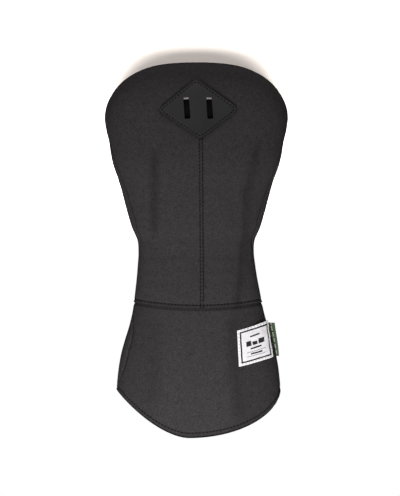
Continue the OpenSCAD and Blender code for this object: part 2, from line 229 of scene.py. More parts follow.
def hem_height(c):
    """Height of the hem at share c of the half width, from -1 to 1."""
    left = c < HEM_TIP
    s = np.where(left, (HEM_TIP - c) / (HEM_TIP + 1), (c - HEM_TIP) / (1 - HEM_TIP))
    p = np.where(left, HEM_LEFT[0], HEM_RIGHT[0])
    q = np.where(left, HEM_LEFT[1], HEM_RIGHT[1])
    return mix(HEM_SIDE, HEM_FOOT, np.maximum(0, 1 - np.clip(s, 0, 1) ** p) ** (1 / q))


def seam_height(c):
    return SEAM_Z + SEAM_RISE * c * c


# ---- the soft form of the cover

# Painted shade down in a valley, as the share by which the fabric's colour is darkened there, and the length
# over which a valley fades at its ends
FOLD_SHADE = 0.26
FOLD_FADE = 16.0
# Soft valleys of the front: foot x and z, top x and z, sideways bow, width and depth
VALLEYS = [
    (-39, 178, -38, 268, 0, 3.0, 2.0),
    (36, 112, 46, 190, 0, 3.0, 1.8),
    (46, 172, 46, 234, 0, 3.0, 2.0),
    (45, 216, 58, 276, 0, 3.2, 1.8),
    (-37, 30, -35, 116, 0, 5.0, 0.9),
    (42, 14, 32, 120, -3, 5.0, 1.2),
]
# Fullness of the front over the head pocket and the hollow above it: height, width and swell
FRONT_SWELLS = [(250, 20, 3.0), (300, 22, -1.5)]
# Hollow of the shoulders: rise above the widest level, width and depth
SHOULDER_RISE, SHOULDER_WIDTH, SHOULDER_DEPTH = 22, 14, 1.6
# Lift of the crown's two corners: sideways place, width and height
CORNER_X, CORNER_WIDTH, CORNER_LIFT = 42, 20, 0.8
# Height of the elastic's ripples at the front and at the back
RIPPLE_FRONT, RIPPLE_BACK = 0.15, 1.5
# Sideways lean of the cover below and above its neck
LEAN_LOW, LEAN_HIGH = 1.4, -0.9


def valleys(x, z, spread=1.0):
    depth = np.zeros(np.broadcast(x, z).shape)
    for foot_x, foot_z, top_x, top_z, bow, width, deep in VALLEYS:
        t = np.clip((z - foot_z) / (top_z - foot_z), 0, 1)
        middle = mix(foot_x, top_x, t) + 4 * bow * t * (1 - t)
        depth -= deep * bell(x - middle, width * spread) * window(z, foot_z, top_z, FOLD_FADE)
    return depth


def fold_depth(x, z):
    """Depth of the soft valleys, from 0 to 1, over a wider band than their relief. It sets their painted
    shade.
    """
    return np.clip(-valleys(x, z, 1.35) / 2, 0, 1)


def gathers(a, z):
    """Ripples that the elastic draws into the neck, deep at the back and faint at the front."""
    back = ease(np.sin(a) * 1.6)
    amount = mix(RIPPLE_FRONT, RIPPLE_BACK, back) * bell(z - NECK_Z, mix(12, 17, back))
    wave = np.sin(27 * a + 0.9 * np.sin(3 * a)) + 0.5 * np.sin(41 * a + 2.1 + 0.02 * z)
    return amount * wave * window(np.abs(np.sin(a)), 0.12, 2, 0.3)


def sway(z):
    """Sideways lean of the soft cover, a little to the left above the neck and to the right below it."""
    return mix(LEAN_LOW, LEAN_HIGH, ease((z - 96) / 84)) + 0.3 * ease((z - 215) / 60)


def form(a, level):
    """Point of the cover's outer face at a level, and at angle a from the right side, seen from above."""
    closing, climb = dome_close(level)
    across = signed_pow(np.cos(a), SECTION_E)
    through = signed_pow(np.sin(a), SECTION_E)
    w, d = half_w(level), half_d(level)
    x = across * w * closing
    y = through * d * closing
    z = np.minimum(level, WIDEST) + CROWN_H * climb
    out = np.stack([signed_pow(across, SECTION_N - 1) / w, signed_pow(through, SECTION_N - 1) / d], -1)
    out = out / np.linalg.norm(out, axis=-1, keepdims=True)
    front = ease(-np.sin(a) * 4)
    swell = sum(height * bell(z - middle, width) for middle, width, height in FRONT_SWELLS)
    shoulder = bell(z - WIDEST - SHOULDER_RISE, SHOULDER_WIDTH) * np.abs(across) ** 3
    push = front * (valleys(x, z) + swell) + gathers(a, z) - SHOULDER_DEPTH * shoulder
    corner = CORNER_LIFT * climb * bell(np.abs(x) - CORNER_X, CORNER_WIDTH)
    pushed = np.stack([x + push * out[..., 0] + sway(z), y + push * out[..., 1], z + corner], -1)
    return pushed + drape(a, level)


def skin(a, level):
    """Points of the outer face, and the outward normal at each."""
    steady = np.minimum(level, TOP - 2)
    along = form(a + 0.004, steady) - form(a - 0.004, steady)
    up = form(a, steady + 0.5) - form(a, steady - 0.5)
    normal = np.cross(along, up)
    return form(a, level), normal / np.linalg.norm(normal, axis=-1, keepdims=True)


# ---- drape of the shell

DRAPE = {"field": None}
CLOTH = {
    "quality": 6,
    "mass": 0.15,
    "tension_stiffness": 15,
    "compression_stiffness": 15,
    "shear_stiffness": 5,
    "bending_stiffness": 0.4,
    "vertex_group_mass": "hold",
    "pin_stiffness": 1,
    "vertex_group_shrink": "slack",
    "shrink_min": -0.008,
    "shrink_max": -0.07,
    "use_pressure": True,
    "uniform_pressure_force": 0.6,
}
# Frames the cloth settles for, the furthest it may move, and how firmly its free areas keep their form
SETTLE_FRAMES = 18
DRAPE_CAP = 2.4
FREE_HOLD = 0.45


def drape(a, level):
    """How far the simulated cloth moved the shell at a point."""
    field = DRAPE["field"]
    if field is None:
        return 0.0
    rows, cols = field.shape[:2]
    u = (a / TURN % 1) * cols
    v = np.clip((level - DRAPE["low"]) / (DRAPE["high"] - DRAPE["low"]), 0, 1) * (rows - 1)
    u, v = np.broadcast_arrays(u, v)
    iu, iv = np.floor(u).astype(int), np.minimum(np.floor(v).astype(int), rows - 2)
    total = 0.0
    for j, wv in enumerate(spline_weights(v - iv)):
        row = np.clip(iv + j - 1, 0, rows - 1)
        for i, wu in enumerate(spline_weights(u - iu)):
            total = total + (wu * wv)[..., None] * field[row, (iu + i - 1) % cols]
    return total


def simulate_drape():
    """Lets the shell settle as cloth, held at its seams, and keeps how far each point moved.

    The cloth is a little larger than its form, and larger still at the back of the neck, so it buckles into
    soft folds between the seams that hold it."""
    rows, cols = 82, 128
    low, high = 4.0, TOP - 12
    a, level = np.meshgrid(np.arange(cols) * TURN / cols, np.linspace(low, high, rows))
    start = form(a, level)
    index = np.arange(rows * cols).reshape(rows, cols)
    quads = np.stack([index[:-1], np.roll(index[:-1], -1, 1), np.roll(index[1:], -1, 1), index[1:]], -1)
    mesh = bpy.data.meshes.new("drape")
    mesh.from_pydata((start.reshape(-1, 3) * MM).tolist(), [], quads.reshape(-1, 4).tolist())
    cloth = bpy.data.objects.new("drape", mesh)
    bpy.context.scene.collection.objects.link(cloth)
    for name, weights in (("hold", hold_weights(a, level)), ("slack", slack_weights(a, level))):
        group = cloth.vertex_groups.new(name=name)
        for vertex, weight in enumerate(weights.ravel()):
            group.add([vertex], float(weight), "REPLACE")
    settings = cloth.modifiers.new("cloth", "CLOTH").settings
    for key, value in CLOTH.items():
        setattr(settings, key, value)
    settings.effector_weights.gravity = 0
    for step in range(1, SETTLE_FRAMES + 1):
        bpy.context.scene.frame_set(step)
    graph = bpy.context.evaluated_depsgraph_get()
    settled = cloth.evaluated_get(graph).to_mesh()
    flat = np.empty(rows * cols * 3, np.float32)
    settled.vertices.foreach_get("co", flat)
    bpy.data.objects.remove(cloth)
    bpy.context.scene.frame_set(1)
    moved = flat.reshape(rows, cols, 3).astype(float) / MM - start
    size = np.linalg.norm(moved, axis=-1, keepdims=True)
    moved *= DRAPE_CAP * np.tanh(size / DRAPE_CAP) / np.maximum(size, 1e-6)
    DRAPE.update(field=moved, low=low, high=high)


def hold_weights(a, level):
    """How firmly the cloth is held: at the seams, the hem, the neck, the patch and the crown."""
    x, z = form(a, level)[..., 0], np.minimum(level, WIDEST)
    sides = bell(np.sin(a), 0.30)
    seam = bell(level - seam_height(x / half_w(level)), 7)
    patch = ease((patch_depth(x, z) + 8) / 8) * (np.sin(a) < 0)
    ends = np.maximum(ease((40 - level) / 30) * 0.85, ease((level - WIDEST - 35) / 30))
    neck = 0.8 * bell(level - NECK_Z, 6)
    return np.clip(np.maximum.reduce([sides, seam, patch, ends, neck]), FREE_HOLD, 1)


def slack_weights(a, level):
    """Where the cloth is fuller than its form: mostly at the back, above and below the elastic."""
    back = ease(np.sin(a) * 2)
    return np.clip(mix(0.10, 0.9, back) * bell(level - NECK_Z, 45) + 0.15, 0, 1)


def spline_weights(t):
    """Weights of the four nearest samples of a smooth cubic spline."""
    return (
        (1 - t) ** 3 / 6,
        (3 * t**3 - 6 * t**2 + 4) / 6,
        (-3 * t**3 + 3 * t**2 + 3 * t + 1) / 6,
        t**3 / 6,
    )


# ---- meshes

def make_piece(name, points, faces, materials, uv=None, face_material=None, shade=None, closed=True):
    """A smooth-shaded mesh from points in millimetres. uv holds a pair for every point, in millimetres."""
    mesh = bpy.data.meshes.new(name)
    mesh.from_pydata((np.asarray(points) * MM).tolist(), [], [list(map(int, f)) for f in faces])
    if face_material is not None:
        mesh.polygons.foreach_set("material_index", np.asarray(face_material, np.int32))
    if uv is not None:
        corner = np.empty(len(mesh.loops), np.int32)
        mesh.loops.foreach_get("vertex_index", corner)
        mesh.uv_layers.new(name="weave").data.foreach_set("uv", np.asarray(uv, np.float32)[corner].ravel())
    if shade is not None:
        values = mesh.attributes.new("shade", "FLOAT", "POINT").data
        values.foreach_set("value", np.asarray(shade, np.float32))
    for material in materials:
        mesh.materials.append(material)
    bm = bmesh.new()
    bm.from_mesh(mesh)
    bmesh.ops.remove_doubles(bm, verts=bm.verts, dist=1e-7)
    bmesh.ops.dissolve_degenerate(bm, edges=bm.edges, dist=1e-7)
    if closed:
        bmesh.ops.recalc_face_normals(bm, faces=bm.faces)
    bm.to_mesh(mesh)
    bm.free()
    mesh.polygons.foreach_set("use_smooth", np.ones(len(mesh.polygons), bool))
    piece = bpy.data.objects.new(name, mesh)
    bpy.context.scene.collection.objects.link(piece)
    return piece


def grid_quads(rows, cols, start=0):
    r, c = np.meshgrid(np.arange(rows - 1), np.arange(cols - 1), indexing="ij")
    corner = r * cols + c + start
    return np.stack([corner, corner + 1, corner + cols + 1, corner + cols], -1).reshape(-1, 4)


def slab(name, outer, inner, materials, uv, face_material=None, shade=None, ring=False):
    """A closed solid between two grids of one layout. In a ring, the columns close on themselves."""
    rows, cols = outer.shape[:2]
    count = rows * cols
    index = np.arange(count).reshape(rows, cols)
    skins = grid_quads(rows, cols)
    if ring:
        rim = np.concatenate([index[0, :-1], index[-1, :0:-1]])
        following = np.concatenate([index[0, 1:], index[-1, -2::-1]])
    else:
        rim = np.concatenate([index[0], index[1:, -1], index[-1, -2::-1], index[-2:0:-1, 0]])
        following = np.roll(rim, -1)
    walls = np.stack([following, rim, rim + count, following + count], -1)
    faces = np.concatenate([skins, skins[:, ::-1] + count, walls])
    marks = None
    if face_material is not None:
        flat = np.asarray(face_material).ravel()
        marks = np.concatenate([flat, np.zeros(len(flat) + len(walls), int)])
    points = np.concatenate([outer.reshape(-1, 3), inner.reshape(-1, 3)])
    both_uv = np.concatenate([uv.reshape(-1, 2)] * 2)
    both_shade = None if shade is None else np.concatenate([shade.ravel()] * 2)
    return make_piece(name, points, faces, materials, both_uv, marks, both_shade)


def rounded(distance, thickness):
    """Share of half a layer's thickness that is left at a distance from its rounded edge."""
    near = np.clip(distance / (thickness / 2), 0, 1)
    return np.sqrt(np.maximum(1 - (1 - near) ** 2, 0))


# ---- grids of the shell and its layers

# How far the side seams roll towards the front: both at the head, and the left one at the sleeve
ROLL_HEAD_LEFT, ROLL_HEAD_RIGHT, ROLL_SLEEVE_LEFT = 15.0, 14.0, 17.0


def side_turns(level):
    """Shares of the way round at which the left and right side seams lie."""
    head = window(level, 142, 306, 62)
    sleeve = window(level, 28, 130, 44)
    left = ROLL_HEAD_LEFT * head + ROLL_SLEEVE_LEFT * sleeve
    return 0.5 + left / girth(level), -ROLL_HEAD_RIGHT * head / girth(level)


def graded(low, high, step, edge):
    """Values from low to high about step apart, with the finer steps of edge at both ends."""
    edge = np.asarray(edge, float)
    count = max(2, round((high - low - 2 * edge[-1]) / step) + 1)
    middle = np.linspace(low + edge[-1], high - edge[-1], count)
    return np.concatenate([low + edge[:-1], middle, high - edge[-2::-1]])


# Finer steps of the columns at the side seams, for the shell and for the layers inside
EDGE_FINE = (0, 0.12, 0.35, 0.7, 1.15, 1.7, 2.3, 3.1, 4.2)
EDGE_PLAIN = (0, 0.2, 0.6, 1.2, 2.2)


def columns(step, edge, dense=()):
    """Shares of half the girth at which the columns lie, with extra ones at dense places from the middle."""
    half = TYPICAL_GIRTH / 2
    places = graded(0, half, step, edge)
    if len(dense):
        middle = np.asarray(dense) + half / 2
        clear = (places < middle[0] - step / 2) | (places > middle[-1] + step / 2)
        places = np.concatenate([places[clear], middle])
    return np.sort(places) / half


def half_grid(front, shares, rows):
    """Points of the outer face over one half, with the distances that shape it.

    A row is (share of the hem line, share of the seam line, constant): it keeps a height above either line,
    or goes from one to the other."""
    hem_share, seam_share, constant = [np.asarray(v, float)[:, None] for v in zip(*rows)]
    level = constant + hem_share * 20 + seam_share * SEAM_Z + 0 * shares[None, :]
    for _ in range(4):
        left, right = side_turns(level)
        low, high = (left, 1 + right) if front else (right, left)
        turn = mix(low, high, shares[None, :])
        a = angle_at(turn)
        c = signed_pow(np.cos(a), SECTION_E)
        level = hem_share * hem_height(c) + seam_share * seam_height(c) + constant
    point, normal = skin(a, level)
    return {
        "level": level,
        "point": point,
        "normal": normal,
        "side": np.minimum(turn - low, high - turn) * girth(level),
        "over_seam": level - seam_height(c),
        "over_hem": level - hem_height(c),
        "uv": np.stack([(turn - 0.5 * (low + high)) * TYPICAL_GIRTH, level], -1),
    }


def lifted(grid, lift):
    return grid["point"] + grid["normal"] * np.asarray(lift)[..., None]


def flat_rows(low, high, step):
    """Level rows from low to high."""
    count = max(2, round((high - low) / step) + 1)
    return [(0, 0, z) for z in np.linspace(low, high, count)]


def rows_between(start, end, count):
    """Rows that go over from one row to another in equal steps, without either."""
    return [tuple(mix(a, b, i / count) for a, b in zip(start, end)) for i in range(1, count)]


def dome_rows(step):
    """Rows over the dome, closing up towards the crown."""
    count = round(DOME_RUN / step)
    return [(0, 0, TOP - DOME_RUN * (1 - i / count)) for i in range(1, count + 1)]


# ---- patch, dart and label places

# How much lower the patch sits than its solid, and how much shorter each half of its short diagonal is
PATCH_DROP, PATCH_TRIM = 0.8, 0.9
patch_low, patch_high = [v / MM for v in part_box("lash_patch")]
PATCH_X = (patch_low.x + patch_high.x) / 2
PATCH_Z = (patch_low.z + patch_high.z) / 2 - PATCH_DROP
PATCH_W = (patch_high.x - patch_low.x) / 2
PATCH_H = (patch_high.z - patch_low.z) / 2 - PATCH_TRIM
# Tilt of the patch's long and short diagonals
PATCH_TILT_U, PATCH_TILT_V = math.radians(0.9), math.radians(4.5)
PATCH_T = 1.8
PATCH_FOOT = PATCH_Z - PATCH_H
# Width and height of the lash slots, the pitch between them, and their rise above the patch's middle
SLOT_W, SLOT_H, SLOT_PITCH, SLOT_RISE = 5.2, 19.2, 20.5, 1.0
SLOT_TILT = math.radians(4)
# Sideways place of the dart at the horizontal seam and at the patch's foot
DART_LOW, DART_HIGH = 3.4, 2.2


def patch_local(x, z):
    """Coordinates along the patch's long and short diagonals."""
    dx, dz = x - PATCH_X, z - PATCH_Z
    return dx + dz * math.sin(PATCH_TILT_V), dz - dx * math.sin(PATCH_TILT_U)


def patch_depth(x, z):
    """Distance inside the edge of the diamond, negative outside it."""
    u, v = patch_local(x, z)
    to_edge = PATCH_W * PATCH_H / math.hypot(PATCH_W, PATCH_H)
    return (1 - np.abs(u) / PATCH_W - np.abs(v) / PATCH_H) * to_edge


def dart_x(z):
    return mix(DART_LOW, DART_HIGH, (z - SEAM_Z) / (PATCH_FOOT - SEAM_Z))


def front_place(x, z):
    """Angle and level of the point of the front at a sideways place and a height."""
    climb = np.clip((z - WIDEST) / CROWN_H, 0, 1)
    rise = np.arcsin(climb ** (1 / DOME_E))
    level = np.where(z > WIDEST, WIDEST + rise / (np.pi / 2) * DOME_RUN, z)
    reach = half_w(level) * dome_close(level)[0]
    across = np.clip((x - sway(z)) / reach, -1, 1)
    return TURN - np.arccos(signed_pow(across, 1 / SECTION_E)), level


def front_skin(x, z):
    """Point and outward normal of the front at a sideways place and a height."""
    return skin(*front_place(x, z))


# ---- materials

def new_material(name, look, *settings):
    """A material whose node tree is filled by a look."""
    material = bpy.data.materials.new(name)
    material.use_nodes = True
    look(material.node_tree, *settings)
    return material


def feed(tree, node, inputs):
    """Sets a node's inputs. Each is a number, a colour or another node's output."""
    for key, value in inputs.items():
        if isinstance(value, bpy.types.NodeSocket):
            tree.links.new(value, node.inputs[key])
        else:
            node.inputs[key].default_value = value


def add(tree, kind, inputs=None, **settings):
    """Adds a shader node, with its settings and inputs."""
    node = tree.nodes.new("ShaderNode" + kind)
    for key, value in settings.items():
        setattr(node, key, value)
    feed(tree, node, inputs or {})
    return node


def math_node(tree, operation, a, b=0.0):
    return add(tree, "Math", {0: a, 1: b}, operation=operation).outputs[0]


def plus(tree, a, b):
    return math_node(tree, "ADD", a, b)


def times(tree, a, b):
    return math_node(tree, "MULTIPLY", a, b)


def spread(tree, value, low, high, to_low=0.0, to_high=1.0):
    """Carries a value from the range low to high over to the range to_low to to_high."""
    inputs = {"Value": value, "From Min": low, "From Max": high, "To Min": to_low, "To Max": to_high}
    return add(tree, "MapRange", inputs).outputs[0]


def ramp(tree, value, low, high, dark, light):
    """Blends two colours as value goes from low to high."""
    share = spread(tree, value, low, high)
    return add(tree, "Mix", {0: share, 6: dark, 7: light}, data_type="RGBA").outputs[2]


def darkened(tree, colour, share):
    inputs = {0: 1.0, 6: colour, 7: share}
    return add(tree, "Mix", inputs, data_type="RGBA", blend_type="MULTIPLY").outputs[2]


def grey(level, red=1.0, blue=1.0):
    return (level * red, level, level * blue, 1.0)


def own_place(tree):
    """Place in the piece's own coordinates, in metres."""
    return add(tree, "TexCoord").outputs["Object"]


def noise(tree, scale, detail=3.0, rough=0.55):
    inputs = {"Vector": own_place(tree), "Scale": scale, "Detail": detail, "Roughness": rough}
    return add(tree, "TexNoise", inputs).outputs[0]


def weave_place(tree):
    """Places across and along the cloth, in millimetres."""
    uv = add(tree, "UVMap", uv_map="weave").outputs[0]
    return add(tree, "SeparateXYZ", {0: uv}).outputs


def ribs(tree, place, pitch):
    """A wave with one crest in every pitch."""
    return math_node(tree, "SINE", times(tree, place, TURN / pitch))


def weave_height(tree, warp_pitch, weft_pitch):
    """Height of a plain weave: its yarns pass over and under each other."""
    place = weave_place(tree)
    return times(tree, ribs(tree, place[0], 2 * warp_pitch), ribs(tree, place[1], 2 * weft_pitch))


def finish_surface(tree, colour, rough, height, depth, strength, sheen=0.0, sheen_rough=0.5, specular=0.5):
    """Gives the surface its colour, gloss and relief. depth is the height of the relief in metres."""
    bump = add(tree, "Bump", {"Height": height, "Distance": depth, "Strength": strength})
    feed(tree, tree.nodes["Principled BSDF"], {
        "Base Color": colour,
        "Roughness": rough,
        "Normal": bump.outputs[0],
        "Sheen Weight": sheen,
        "Sheen Roughness": sheen_rough,
        "Specular IOR Level": specular,
    })


def woven_fabric(tree, level):
    """Charcoal polyester canvas: a fine matt weave with flecked yarns, with painted shade where the surface
    turns away from view and the painted shade held in the mesh's shade attribute.
    """
    yarns = weave_height(tree, 0.55, 0.6)
    fleck = noise(tree, 1250, 3, 0.65)
    cloud = plus(tree, times(tree, fleck, 0.82), times(tree, noise(tree, 260, 2), 0.18))
    colour = ramp(tree, cloud, 0.37, 0.63, grey(level * 0.62, 1.10, 1.04), grey(level * 1.38, 1.07, 1.05))
    # Painted shade: darker where the surface turns away from view, and darker by the shade attribute
    turned = add(tree, "LayerWeight", {"Blend": 0.5}).outputs["Facing"]
    edge = spread(tree, turned, 0.62, 0.96, 1.0, 0.72)
    shade = add(tree, "Attribute", attribute_name="shade").outputs["Fac"]
    colour = darkened(tree, colour, times(tree, edge, shade))
    rough = spread(tree, fleck, 0, 1, 0.80, 0.97)
    height = plus(tree, yarns, times(tree, fleck, 1.6))
    finish_surface(tree, colour, rough, height, 0.00009, 0.6, sheen=0.008, sheen_rough=0.4, specular=0.07)


def fleece(tree, level):
    """Short-piled fleece: soft clumps over fine fibres."""
    pile = plus(tree, noise(tree, 260, 4, 0.65), times(tree, noise(tree, 1500, 2, 0.7), 0.5))
    colour = ramp(tree, pile, 0.5, 1.0, grey(level * 0.6), grey(level * 1.5))
    finish_surface(tree, colour, 0.95, pile, 0.0006, 0.8, sheen=0.35, sheen_rough=0.6, specular=0.15)


def open_foam(tree):
    """Open-celled grey foam: a field of small pits."""
    cells = add(tree, "TexVoronoi", {"Vector": own_place(tree), "Scale": 900.0}).outputs["Distance"]
    colour = ramp(tree, cells, 0.1, 0.6, grey(0.16), grey(0.34, 1.0, 0.95))
    finish_surface(tree, colour, 0.9, cells, 0.0004, 0.8, specular=0.2)


def ribbed_elastic(tree):
    """Black knitted elastic: ribs that run along the tape."""
    place = weave_place(tree)
    height = plus(tree, ribs(tree, place[1], 1.1), times(tree, ribs(tree, place[0], 0.8), 0.4))
    colour = ramp(tree, height, -1.0, 1.2, grey(0.008), grey(0.03))
    finish_surface(tree, colour, 0.75, height, 0.00018, 0.8)


def patch_leather(tree):
    """Smooth matt synthetic leather with a very fine grain, with painted shade darkening it towards the
    patch's foot.
    """
    grain = noise(tree, 1400, 3, 0.6)
    colour = ramp(tree, noise(tree, 55, 3), 0.35, 0.7, grey(0.025), grey(0.031, 1.0, 0.99))
    # Painted shade: darker towards the patch's foot
    height = add(tree, "SeparateXYZ", {0: own_place(tree)}).outputs[2]
    colour = darkened(tree, colour, spread(tree, height, PATCH_FOOT * MM, (PATCH_Z + 2) * MM, 0.62))
    rough = spread(tree, grain, 0, 1, 0.52, 0.66)
    finish_surface(tree, colour, rough, grain, 0.00003, 0.35, specular=0.22)


def cut_core_glint(tree):
    """Pale core of the synthetic leather where it is cut, used only on the slots' sloping upper ends: partly
    a real cut core, partly a painted highlight where the low light catches those ends.
    """
    fibres = noise(tree, 1800, 3, 0.7)
    colour = ramp(tree, fibres, 0.3, 0.7, (0.20, 0.17, 0.165, 1), (0.32, 0.28, 0.27, 1))
    finish_surface(tree, colour, 0.8, fibres, 0.0001, 0.5)


def satin_weave(tree, dark, light, pitch=0.32):
    """Fine satin of a woven label."""
    weave = weave_height(tree, pitch, pitch * 1.6)
    cloud = plus(tree, noise(tree, 900, 2), times(tree, weave, 0.12))
    colour = ramp(tree, cloud, 0.3, 0.75, dark, light)
    finish_surface(tree, colour, 0.55, weave, 0.00005, 0.6, sheen=0.1, specular=0.4)


def grosgrain(tree, dark, light):
    """Ribbon with close ribs across its length."""
    height = ribs(tree, weave_place(tree)[1], 0.7)
    cloud = plus(tree, noise(tree, 1100, 2), times(tree, height, 0.18))
    colour = ramp(tree, cloud, 0.25, 0.8, dark, light)
    finish_surface(tree, colour, 0.65, height, 0.00012, 0.7, sheen=0.08)


def twisted_thread(tree, dark, light):
    """Sewing thread: slanting plies along each stitch."""
    place = weave_place(tree)
    plies = math_node(tree, "SINE", plus(tree, times(tree, place[0], TURN / 0.55), place[1]))
    colour = ramp(tree, plies, -1.0, 1.0, dark, light)
    finish_surface(tree, colour, 0.7, plies, 0.00006, 0.8, specular=0.12)


FABRIC = new_material("charcoal_canvas", woven_fabric, 0.036)
FLEECE = new_material("fleece_lining", fleece, 0.035)
FOAM = new_material("open_foam", open_foam)
ELASTIC = new_material("ribbed_elastic", ribbed_elastic)
LEATHER = new_material("patch_leather", patch_leather)
CORE_GLINT = new_material("leather_core_glint", cut_core_glint)
LABEL_FIELD = new_material("label_field", satin_weave, (0.75, 0.74, 0.765, 1), (0.91, 0.90, 0.93, 1))
LABEL_EDGE = new_material("label_edge", satin_weave, (0.93, 0.925, 0.93, 1), (0.99, 0.985, 0.99, 1))
LABEL_LINE = new_material("label_line", satin_weave, (0.006, 0.006, 0.007, 1), (0.02, 0.02, 0.022, 1))
RIBBON = new_material("green_ribbon", grosgrain, (0.055, 0.098, 0.042, 1), (0.105, 0.165, 0.075, 1))
RIBBON_MARK = new_material("ribbon_mark", grosgrain, (0.58, 0.64, 0.52, 1), (0.78, 0.82, 0.72, 1))
DARK_THREAD = new_material("dark_thread", twisted_thread, grey(0.0015), grey(0.006))
PALE_THREAD = new_material("pale_thread", twisted_thread, grey(0.5), grey(0.75))


# ---- woven shell

def fasten(piece, name, body):
    """Puts a piece in the place of the solid of its name: on one body, or left in world space where it spans
    the neck.
    """
    if body == "neck":
        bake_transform(piece)
    else:
        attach(piece, body)
    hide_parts(name)


def side_roll(side):
    """Sink of the shell where it plunges into a side seam."""
    return PILLOW_R * (rounded(side, 2 * PILLOW_R) - 1)


def channel(distance, depth=0.45):
    """Groove that a row of stitches pulls into the cloth."""
    return -depth * bell(distance, 0.8)


def thread_shade(distance):
    """Painted shade along a row of stitches, where the thread draws the cloth into a groove."""
    return 0.32 * bell(distance, 0.6)


def dart_relief(x, z):
    """Relief of the dart, a crease drawn in by its thread with a channel beside it, and the painted shade,
    dotted like stitch holes, in its crease and along its thread.
    """
    stretch = ease((PATCH_FOOT + 1 - z) / 3)
    gap = x - dart_x(z)
    pull = 0.75 + 0.25 * np.cos(TURN * z / STITCH_PITCH)
    crease = 0.95 * pull * (rounded(np.abs(gap), 1.8) - 1)
    ridge = 0.3 * bell(gap - DART_ROW / 2, 0.9)
    # Painted shade in the crease and along the topstitch
    dark = 0.9 * (1.6 * pull - 0.6) * bell(gap, 0.6) + thread_shade(gap - DART_ROW)
    return stretch * (crease + channel(gap - DART_ROW) + ridge), stretch * dark


def patch_bed(x, z, shade):
    """Relief and painted shade of the fabric at the patch: puckered at its lower right and sunk beneath it,
    with a painted shadow below its lower edges and painted deep shade in the pocket under it, seen through
    the slots.
    """
    inside = patch_depth(x, z)
    # Painted shadow below the patch's lower edges
    shadow = 0.75 * bell(np.minimum(inside, 0), 1.8) * ease((PATCH_Z - z) / 10 + 0.5)
    pucker = 0.9 * bell(inside + 7, 4.5) * bell(x - PATCH_X - 15, 9) * ease((PATCH_Z - z) / 6)
    pocket = ease((inside - 3.5) / 1.5)
    return pucker - 0.8 * pocket, mix(shade * (1 - shadow), 0.08, pocket)


def panel(name, front):
    """Front or back panel, from its folded lower edge over the crown. The front one has the dart."""
    fold_rows = (0, 0.06, 0.2, 0.45, 0.8, 1.2, 1.7, 2.2, 2.6, 3.0, 3.5, 4.2, 5.2)
    level_from = 146.0
    rows = [(0, 1, rise) for rise in fold_rows]
    rows += rows_between(rows[-1], (0, 0, level_from), 24)
    rows += flat_rows(level_from, WIDEST, 1.6 if front else 2.0) + dome_rows(2.2)
    dart_columns = np.arange(-2.0, 9.01, 0.4) if front else ()
    grid = half_grid(front, columns(2.1, EDGE_FINE, dart_columns), rows)
    over_seam, side = grid["over_seam"], grid["side"]
    relief = side_roll(side) + channel(over_seam - ROW_ABOVE) + 0.3 * bell(over_seam - 0.9, 0.9)
    # Painted shade along the topstitch row, under the folded lower edge and in the side seams
    shade = 1 - thread_shade(over_seam - ROW_ABOVE) - 0.6 * bell(over_seam, 0.5) - 0.6 * bell(side, 0.7)
    if front:
        x, z = grid["point"][..., 0], grid["point"][..., 2]
        dart, dark = dart_relief(x, z)
        # Painted shade in the dart's crease and in the soft valleys
        shade = np.maximum(shade - dark, 0.1) * (1 - FOLD_SHADE * fold_depth(x, z))
        bed, shade = patch_bed(x, z, shade)
        relief = relief + dart + bed
    edge = rounded(over_seam, 1.1) - 1
    outer = relief + 0.12 + 0.55 * edge
    inner = side_roll(side) - 0.98 - 0.45 * edge
    piece = slab(name, lifted(grid, outer), lifted(grid, inner), [FABRIC], grid["uv"], shade=shade)
    fasten(piece, name, "neck")


def skirt(name, front):
    """Front or back skirt, from its double hem to its upper edge, which is tucked under the panel."""
    hem_rows = (0, 0.08, 0.3, 0.65, 1.0, 1.4, 1.9, 2.6, 3.3, 3.9, 4.5, 5.1, 6.0)
    seam_rows = (-6.0, -4.8, -3.9, -3.1, -2.5, -1.9, -1.4, -1.0, -0.5, 0.2, 1.5, 4.0, 7.0)
    low_rows, high_rows = [(1, 0, rise) for rise in hem_rows], [(0, 1, rise) for rise in seam_rows]
    rows = low_rows + rows_between(low_rows[-1], high_rows[0], 44) + high_rows
    grid = half_grid(front, columns(2.1, EDGE_FINE), rows)
    over_hem, over_seam, side = grid["over_hem"], grid["over_seam"], grid["side"]
    bead = 0.3 * window(over_hem, -2, 2.3, 0.8)
    tuck = -0.85 * ease((over_seam + 2.2) / 2.4)
    grooves = channel(over_hem - HEM_ROW) + channel(over_seam + ROW_BELOW, 0.2)
    thickness = mix(HEM_T, FABRIC_T, ease((over_hem - 7) / 1.5))
    edge = rounded(over_hem, 1.7) - 1
    outer = side_roll(side) + tuck + grooves + bead + 0.8 * edge
    inner = side_roll(side) + tuck - thickness - 0.7 * edge
    # Painted shade along both rows of stitches, at the tuck under the panel, under the hem's roll and in the
    # side seams
    shade = 1 - thread_shade(over_hem - HEM_ROW) - thread_shade(over_seam + ROW_BELOW)
    shade -= 0.3 * bell(over_seam, 0.5) + 0.85 * ease((2.2 - over_hem) / 1.6) + 0.6 * bell(side, 0.7)
    shade = np.maximum(shade, 0.15)
    if front:
        x, z = grid["point"][..., 0], grid["point"][..., 2]
        # Painted shade on the skirt's sides, where they turn away from the light
        turned_side_shade = 0.12 * ease((np.abs(x + 3) - 30) / 9)
        shade *= (1 - FOLD_SHADE * fold_depth(x, z)) * (1 - turned_side_shade)
    piece = slab(name, lifted(grid, outer), lifted(grid, inner), [FABRIC], grid["uv"], shade=shade)
    fasten(piece, name, "sleeve")


# ---- layers inside

def layer(name, grid, middle, half, material, body, seam=0.0):
    """A soft layer about a middle height, half its thickness either way, and thinner at its seams."""
    outer, inner = lifted(grid, middle + half), lifted(grid, middle - half + seam)
    fasten(slab(name, outer, inner, [material], grid["uv"]), name, body)


